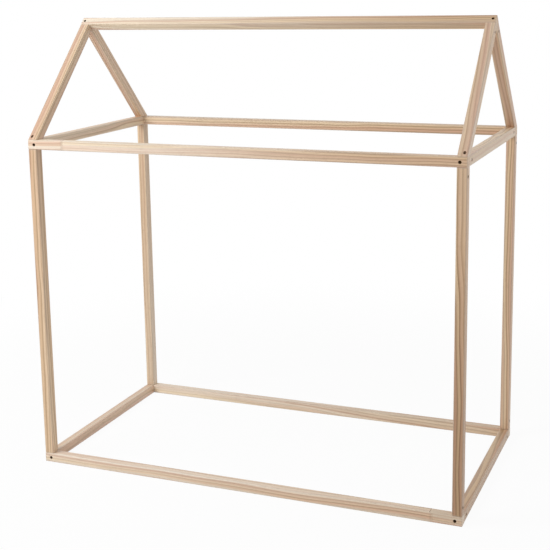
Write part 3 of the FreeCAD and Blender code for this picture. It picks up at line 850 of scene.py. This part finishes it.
def rod(tree, radius, foot, top, softening, sides=LATHE_SIDES):
    """A closed rod whose two ends are softened alike."""
    end_radius = maths(tree, "SUBTRACT", radius, softening)
    above_foot = maths(tree, "ADD", foot, softening)
    below_top = maths(tree, "SUBTRACT", top, softening)
    foot_end = [(0.0, foot), (end_radius, foot), (radius, above_foot)]
    top_end = [(radius, below_top), (end_radius, top), (0.0, top)]
    return turned(tree, foot_end + top_end, sides)


print("the lathe cuts", LATHE_SIDES, "sides, and points nearer than", TOUCHING, "metres are one")

# %% [markdown]
# ## The bolt's socket and thread
#
# The key fits a hexagon socket. It is turned round like the rest, then its lower rings are pulled
# out to a hexagon, which keeps the skin closed with no cutting. The thread is a small ridge swept
# along a helix, and stands on a core slimmer than the shank.

# %% Draw the socket and the thread
SIXTH_OF_A_TURN = math.pi / 3
STEPS_A_TURN = 14
RIDGE_SIDES = 3
# shares of the pitch: how far the ridge's middle lies in from its crest, and its radius
RIDGE_SUNK = 0.35
RIDGE_RADIUS = 0.31


def hexagonal(tree, geometry, below):
    """Pulls the rings that lie lower than a height from circles to hexagons."""
    place = shape(tree, "InputPosition")
    part = split(tree, place)
    angle = maths(tree, "FLOORED_MODULO", maths(tree, "ARCTAN2", part[1], part[0]), SIXTH_OF_A_TURN)
    off_flat = maths(tree, "SUBTRACT", angle, SIXTH_OF_A_TURN / 2)
    pull = maths(tree, "DIVIDE", 1.0, maths(tree, "COSINE", off_flat))
    given = {
        "Geometry": geometry,
        "Selection": maths(tree, "LESS_THAN", part[2], below),
        "Position": vectors(tree, "MULTIPLY", place, whole(tree, pull, pull, 1.0)),
    }
    return shape(tree, "SetPosition", given)


def threaded(tree, radius, pitch, start, height):
    """A ridge along a helix that just reaches the radius."""
    middle = maths(tree, "MULTIPLY_ADD", pitch, -RIDGE_SUNK, radius)
    helix = {
        "Resolution": STEPS_A_TURN,
        "Rotations": maths(tree, "DIVIDE", height, pitch),
        "Start Radius": middle,
        "End Radius": middle,
        "Height": height,
    }
    helix = shape(tree, "CurveSpiral", helix)
    ridge = {"Resolution": RIDGE_SIDES, "Radius": maths(tree, "MULTIPLY", pitch, RIDGE_RADIUS)}
    ridge = shape(tree, "CurvePrimitiveCircle", ridge)
    swept = shape(tree, "CurveToMesh", {"Curve": helix, "Profile Curve": ridge, "Fill Caps": True})
    return moved(tree, swept, whole(tree, 0.0, 0.0, start))


corner = 1 / math.cos(SIXTH_OF_A_TURN / 2)
print("a hexagon's corners stand", round(corner, 3), "times as far from its middle as its flats")

# %% [markdown]
# ## The bolt
#
# Each joint is drawn tight by a socket head bolt sunk in a recess. Its head has a softened rim
# and sits on zero, so that the same drawing serves every length of shank. A bolt from a parts
# library would be as good, but a tree with inputs fits both sizes used here.

# %% Draw the bolt
BOLT_SIZES = {
    "Diameter": 0.006,
    "Length": 0.0554,
    "Head Diameter": 0.010,
    "Head Height": 0.006,
    "Socket": 0.005,
    "Socket Depth": 0.003,
    "Thread Length": 0.018,
    "Pitch": 0.001,
    "Rim": 0.0006,
}
# in pitches, in times the socket's flats, and the last three in rims
CORE_SLIMMER_BY = 0.6
MOUTH_WIDER = 1.18
FINE_RIM = 0.3
SIDE_STOPS_BELOW = 0.5
HEXAGON_STOPS_BELOW = 0.2


def bolt_tree():
    """A socket head bolt, its seat at zero, its head above and its tip below."""
    tree, given = fastener_tree("socket_head_bolt", BOLT_SIZES)

    def half(label):
        """Half of a named size."""
        return maths(tree, "DIVIDE", given[label], 2.0)

    def less(value, rims):
        """A length made shorter by so many rims."""
        return maths(tree, "MULTIPLY_ADD", given["Rim"], -rims, value)

    radius = half("Diameter")
    head = half("Head Diameter")
    flat = half("Socket")
    top = given["Head Height"]
    core = maths(tree, "MULTIPLY_ADD", given["Pitch"], -CORE_SLIMMER_BY, radius)
    tip = maths(tree, "MULTIPLY", given["Length"], -1.0)
    thread_end = maths(tree, "ADD", tip, given["Thread Length"])
    mouth = maths(tree, "MULTIPLY", flat, MOUTH_WIDER)
    shank_cut = [
        (0.0, tip),
        (less(core, 1), tip),
        (core, less(tip, -1)),
        (core, thread_end),
        (radius, less(thread_end, -1)),
        (radius, 0.0),
    ]
    head_cut = [
        (less(head, FINE_RIM), 0.0),
        (head, less(0.0, -FINE_RIM)),
        (head, less(top, 1)),
        (less(head, FINE_RIM), less(top, FINE_RIM)),
        (less(head, 1), top),
        (mouth, top),
    ]
    body = turned(tree, shank_cut + head_cut)
    floor = maths(tree, "SUBTRACT", top, given["Socket Depth"])
    well = turned(tree, [(0.0, floor), (flat, floor), (flat, less(top, SIDE_STOPS_BELOW)), (mouth, top)])
    well = hexagonal(tree, well, less(top, HEXAGON_STOPS_BELOW))
    well = shape(tree, "FlipFaces", {"Mesh": well})
    thread = threaded(tree, radius, given["Pitch"], less(tip, -1), less(given["Thread Length"], 2))
    set_down(tree, given, joined(tree, [body, well, thread]))
    return tree


BOLT = bolt_tree()
print("the bolt's tree has", len(BOLT.nodes), "nodes")

# %% [markdown]
# ## The barrel nut
#
# A barrel nut is a short steel rod across the timber, with a hole through its side for the bolt
# and a slot in its end for turning it into line. Hole and slot really are cut through, so it is
# the one fastener that uses a boolean.

# %% Draw the nut
NUT_SIZES = {
    "Diameter": 0.010,
    "Length": 0.012,
    "Hole": 0.0062,
    "Slot Width": 0.0012,
    "Slot Depth": 0.0015,
    "Rim": 0.0005,
}
CUTTER_IN_RADII = 3.0


def nut_tree():
    """A barrel nut centred on zero, its hole along the seat's across."""
    tree, given = fastener_tree("barrel_nut", NUT_SIZES)
    radius = maths(tree, "DIVIDE", given["Diameter"], 2.0)
    top = maths(tree, "DIVIDE", given["Length"], 2.0)
    foot = maths(tree, "MULTIPLY", top, -1.0)
    body = rod(tree, radius, foot, top, given["Rim"])
    through = maths(tree, "MULTIPLY", radius, CUTTER_IN_RADII)
    hole_radius = maths(tree, "DIVIDE", given["Hole"], 2.0)
    hole = {"Vertices": LATHE_SIDES, "Radius": hole_radius, "Depth": through}
    hole = moved(tree, shape(tree, "MeshCylinder", hole), turn=(0.0, math.pi / 2, 0.0))
    slot = whole(tree, through, given["Slot Width"], maths(tree, "MULTIPLY", given["Slot Depth"], 2.0))
    slot = moved(tree, shape(tree, "MeshCube", {"Size": slot}), whole(tree, 0.0, 0.0, top))
    for cutter in (hole, slot):
        body = shape(tree, "MeshBoolean", {"Mesh 1": body, "Mesh 2": cutter}, operation="DIFFERENCE")
    set_down(tree, given, body)
    return tree


NUT = nut_tree()
print("the nut's tree has", len(NUT.nodes), "nodes")

# %% [markdown]
# ## The dowel
#
# A dowel is a fluted beech peg with chamfered ends, whose flutes let the glue out. Each flute
# could be cut with a tool of its own, but a wave round the peg's axis presses them all into a
# plain turned body at once.

# %% Draw the dowel
DOWEL_SIZES = {"Diameter": 0.008, "Length": 0.025, "Bevel": 0.0008, "Flutes": 20.0, "Flute Depth": 0.0004}
DOWEL_SIDES = 120


def dowel_tree():
    """A fluted peg standing on zero."""
    tree, given = fastener_tree("fluted_dowel", DOWEL_SIZES)
    radius = maths(tree, "DIVIDE", given["Diameter"], 2.0)
    body = rod(tree, radius, 0.0, given["Length"], given["Bevel"], DOWEL_SIDES)
    place = shape(tree, "InputPosition")
    part = split(tree, place)
    turn = maths(tree, "MULTIPLY", maths(tree, "ARCTAN2", part[1], part[0]), given["Flutes"])
    wave = maths(tree, "MULTIPLY_ADD", maths(tree, "COSINE", turn), 0.5, 0.5)
    share = maths(tree, "DIVIDE", given["Flute Depth"], radius)
    keep = maths(tree, "SUBTRACT", 1.0, maths(tree, "MULTIPLY", wave, share))
    fluted = vectors(tree, "MULTIPLY", place, whole(tree, keep, keep, 1.0))
    set_down(tree, given, shape(tree, "SetPosition", {"Geometry": body, "Position": fluted}))
    return tree


DOWEL = dowel_tree()
print("the dowel's tree has", len(DOWEL.nodes), "nodes")

# %% [markdown]
# ## Where each fastener sits
#
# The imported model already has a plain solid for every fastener, so nothing is typed in twice: a
# group's loose solids are found by walking along their edges, and the box of each gives its
# length and its top. A slanted cylinder's box is larger than its axis by its end radii times the
# sine of the slant, so those come off first.

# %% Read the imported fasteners
def loose_boxes(name):
    """The lowest and highest corner of every separate solid in a CAD node."""
    mesh = bmesh.new()
    mesh.from_mesh(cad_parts[name].data)
    bmesh.ops.remove_doubles(mesh, verts=mesh.verts, dist=TOUCHING)
    left = set(mesh.verts)
    boxes = []
    while left:
        reached = [next(iter(left))]
        found = set()
        while reached:
            vert = reached.pop()
            if vert not in found:
                found.add(vert)
                reached.extend(edge.other_vert(vert) for edge in vert.link_edges)
        left -= found
        sides = list(zip(*(vert.co for vert in found)))
        boxes.append((Vector(map(min, sides)), Vector(map(max, sides))))
    mesh.free()
    return sorted(boxes, key=lambda box: tuple(round(value, 5) for value in box[0]))


def sine_beside(cosine):
    """The sine of the angle that has this cosine."""
    return math.sqrt(max(0.0, 1.0 - cosine * cosine))


def axis_of(box, aim, top_radius, foot_radius):
    """The middle of a turned solid's top end and its length, from its box and its aim."""
    low, high = box
    top = (low + high) / 2
    for axis, share in enumerate(aim):
        if abs(share) > TOUCHING:
            outer = high[axis] if share > 0 else low[axis]
            top[axis] = outer - math.copysign(top_radius * sine_beside(share), share)
    steepest = max(range(3), key=lambda axis: abs(aim[axis]))
    reach = (top_radius + foot_radius) * sine_beside(aim[steepest])
    return top, (high[steepest] - low[steepest] - reach) / abs(aim[steepest])


print("rail_bolts has", len(loose_boxes("rail_bolts")), "loose solids")

# %% [markdown]
# ## The kinds and their arrows
#
# The bed is alike on its four corners, so the arrows are written for the corner at the back
# right, and mirrored to the others by the signs of a solid's own place. The smaller bolts hold
# the rafters, where the timber has less depth for a head.

# %% List the fasteners
OUT = (0.0, 1.0, 0.0)
SIDEWAYS = (1.0, 0.0, 0.0)
UP = (0.0, 0.0, 1.0)
DOWN = (0.0, 0.0, -1.0)
UP_THE_RAFTER = (0.0, -SLANT, SLANT)
ROOF_HEAD = {"Head Diameter": 0.0085, "Head Height": 0.0035, "Socket": 0.003, "Socket Depth": 0.002}
ROOF_BOLT_SIZES = {**BOLT_SIZES, "Diameter": 0.005, **ROOF_HEAD}
ROOF_NUT_SIZES = {**NUT_SIZES, "Hole": 0.0052}
FASTENERS = [
    # CAD node, tree, sizes, aim, across
    ("rail_bolts", BOLT, BOLT_SIZES, OUT, SIDEWAYS),
    ("post_bolts", BOLT, BOLT_SIZES, DOWN, SIDEWAYS),
    ("eaves_bolts", BOLT, ROOF_BOLT_SIZES, UP, SIDEWAYS),
    ("ridge_bolts", BOLT, ROOF_BOLT_SIZES, UP_THE_RAFTER, SIDEWAYS),
    ("rail_barrel_nuts", NUT, NUT_SIZES, SIDEWAYS, OUT),
    ("post_barrel_nuts", NUT, NUT_SIZES, SIDEWAYS, UP),
    ("eaves_barrel_nuts", NUT, ROOF_NUT_SIZES, SIDEWAYS, UP),
    ("ridge_barrel_nuts", NUT, ROOF_NUT_SIZES, SIDEWAYS, UP_THE_RAFTER),
    ("rail_dowels", DOWEL, DOWEL_SIZES, OUT, SIDEWAYS),
    ("post_dowels", DOWEL, DOWEL_SIZES, UP, SIDEWAYS),
    ("rafter_foot_dowels", DOWEL, DOWEL_SIZES, UP, SIDEWAYS),
    ("ridge_dowels", DOWEL, DOWEL_SIZES, UP_THE_RAFTER, SIDEWAYS),
]


def end_radii(tree, sizes):
    """The radius of a fastener's top and of its foot, where they make a slanted box larger."""
    if tree == BOLT:
        return sizes["Head Diameter"] / 2, sizes["Diameter"] / 2
    if tree == DOWEL:
        end_radius = sizes["Diameter"] / 2 - sizes["Bevel"]
        return end_radius, end_radius
    return 0.0, 0.0


def seats_of(name, tree, sizes, aim_there, across_there):
    """Every seat of a group as place, aim and across, and its fasteners' length."""
    seats = []
    head = sizes.get("Head Height", 0.0)
    for box in loose_boxes(name):
        middle = (box[0] + box[1]) / 2
        mirror = Vector((math.copysign(1.0, middle.x), math.copysign(1.0, middle.y), 1.0))
        aim = mirror * Vector(aim_there)
        across = mirror * Vector(across_there)
        top, length = axis_of(box, aim, *end_radii(tree, sizes))
        above = {BOLT: head, NUT: length / 2, DOWEL: length}[tree]
        seats.append((top - aim * above, aim, across))
    return seats, length - head


print(len(FASTENERS), "groups of fasteners to set")

# %% [markdown]
# ## Setting them down
#
# The seats become a mesh of bare points that carry their arrows as attributes. A modifier runs
# the tree over them, and what comes out is kept as a plain mesh, so that nothing live is left.
# Each finished group then replaces its plain CAD node.

# %% Set the fasteners
SMOOTHED_BELOW = math.radians(35)


def set_fasteners(name, tree, inputs, seats):
    """Runs a fastener's tree over its seats and keeps the plain mesh."""
    points = bpy.data.meshes.new(name)
    points.from_pydata([seat[0] for seat in seats], [], [])
    for number, label in ((1, "aim"), (2, "across")):
        arrows = points.attributes.new(label, "FLOAT_VECTOR", "POINT")
        arrows.data.foreach_set("vector", [value for seat in seats for value in seat[number]])
    piece = new_object(name, points)
    modifier = piece.modifiers.new("fasteners", "NODES")
    modifier.node_group = tree
    for item in tree.interface.items_tree:
        if item.in_out == "INPUT" and item.name in inputs:
            modifier[item.identifier] = inputs[item.name]
    plain = bpy.data.meshes.new_from_object(piece.evaluated_get(bpy.context.evaluated_depsgraph_get()))
    piece.modifiers.remove(modifier)
    piece.data = plain
    plain.shade_smooth()
    plain.set_sharp_from_angle(angle=SMOOTHED_BELOW)
    return piece


for name, tree, sizes, aim, across in FASTENERS:
    seats, length = seats_of(name, tree, sizes, aim, across)
    finish, slot = (BEECH, "dowel") if tree == DOWEL else (STEEL, "steel")
    piece = set_fasteners(name + "_fine", tree, {**sizes, "Length": length, "Finish": finish}, seats)
    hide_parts(name)
    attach(piece, "root")
    faces = len(piece.data.polygons)
    print(name, len(seats), "set,", faces, "faces,", round(length / MILLIMETRE, 1), "mm long")

# %% [markdown]
# ## The room
#
# The bed stands in a white studio. The floor is a large pale sheet that shows white to the
# camera but still takes a faint shadow, and the world does the same for what lies beyond it. A
# brighter world would show white too, but it would also wash out the wood, so both are white
# only for what is seen directly, in a gloss or through a glass.

# %% Floor and world
FLOOR_REACH = 30.0
FLOOR_COLOUR = (0.86, 0.86, 0.86, 1.0)
WHITE = (1.0, 1.0, 1.0, 1.0)
SEEN_WHITE = 0.94
SHADOW_REACH = (1.0, 2.6)
WORLD_LIGHT = 0.45


def seen_directly(tree):
    """One for what the camera, a gloss or a glass sees."""
    path = tree.nodes.new("ShaderNodeLightPath").outputs
    either = maths(tree, "MAXIMUM", path["Is Camera Ray"], path["Is Glossy Ray"])
    return maths(tree, "MAXIMUM", either, path["Is Transmission Ray"])


def studio_floor():
    """A pale floor that is whitest away from the bed, where no shadow has to show."""
    mesh = bpy.data.meshes.new("studio_floor")
    far = FLOOR_REACH
    mesh.from_pydata([(-far, -far, 0), (far, -far, 0), (far, far, 0), (-far, far, 0)], [], [(0, 1, 2, 3)])
    floor = new_object("studio_floor", mesh)
    material, tree, shader = new_finish("studio_floor")
    tree.nodes.remove(shader)
    plain = node(tree, "ShaderNodeBsdfDiffuse", {"Color": FLOOR_COLOUR})
    white = node(tree, "ShaderNodeEmission", {"Color": WHITE, "Strength": 1.0})
    distance = vectors(tree, "LENGTH", place_on_piece(tree))
    whiteness = ramp(tree, distance, *SHADOW_REACH, SEEN_WHITE, 1.0)
    share = maths(tree, "MULTIPLY", seen_directly(tree), whiteness)
    mixed = node(tree, "ShaderNodeMixShader", {0: share, 1: plain.outputs[0], 2: white.outputs[0]})
    put(tree, tree.nodes["Material Output"].inputs["Surface"], mixed.outputs[0])
    mesh.materials.append(material)


def studio_world(strength):
    """White surroundings that light the bed only with a given strength."""
    world = bpy.data.worlds.new("studio_world")
    bpy.context.scene.world = world
    world.use_nodes = True
    tree = world.node_tree
    sky = tree.nodes["Background"]
    sky.inputs["Color"].default_value = WHITE
    put(tree, sky.inputs["Strength"], between(tree, seen_directly(tree), strength, 1.0))


studio_floor()
studio_world(WORLD_LIGHT)
bpy.context.scene.view_settings.view_transform = "Standard"
print("the floor reaches", FLOOR_REACH, "metres, and the world lights with", WORLD_LIGHT)

# %% [markdown]
# ## The lamps
#
# A broad lamp at the front left gives the soft fall of light from left to right along the rails.
# The gable side in view turns away from it, so a larger and cooler one far off on the right
# lights that. A single lamp behind the camera would be simpler, but would flatten every bar.

# %% Set the lamps
LAMPS = [
    # name, place, what it looks at, its side in metres, its watts, colour
    ("window_lamp", (-2.4, -2.3, 2.7), (-0.3, 0.0, 0.8), 2.0, 88.0, (1.0, 1.0, 1.0)),
    ("side_lamp", (6.0, 0.7, 2.8), (0.0, 0.0, 0.8), 3.6, 66.0, (0.93, 0.98, 1.0)),
]


def set_lamp(name, place, target, side, watts, colour):
    """A square lamp that looks at a point."""
    light = bpy.data.lights.new(name, "AREA")
    light.shape = "SQUARE"
    light.size = side
    light.energy = watts
    light.color = colour
    lamp = new_object(name, light)
    lamp.location = place
    lamp.rotation_euler = (Vector(target) - Vector(place)).to_track_quat("-Z", "Y").to_euler()


for settings in LAMPS:
    set_lamp(*settings)
print("the studio has", len(bpy.data.lights), "lamps")
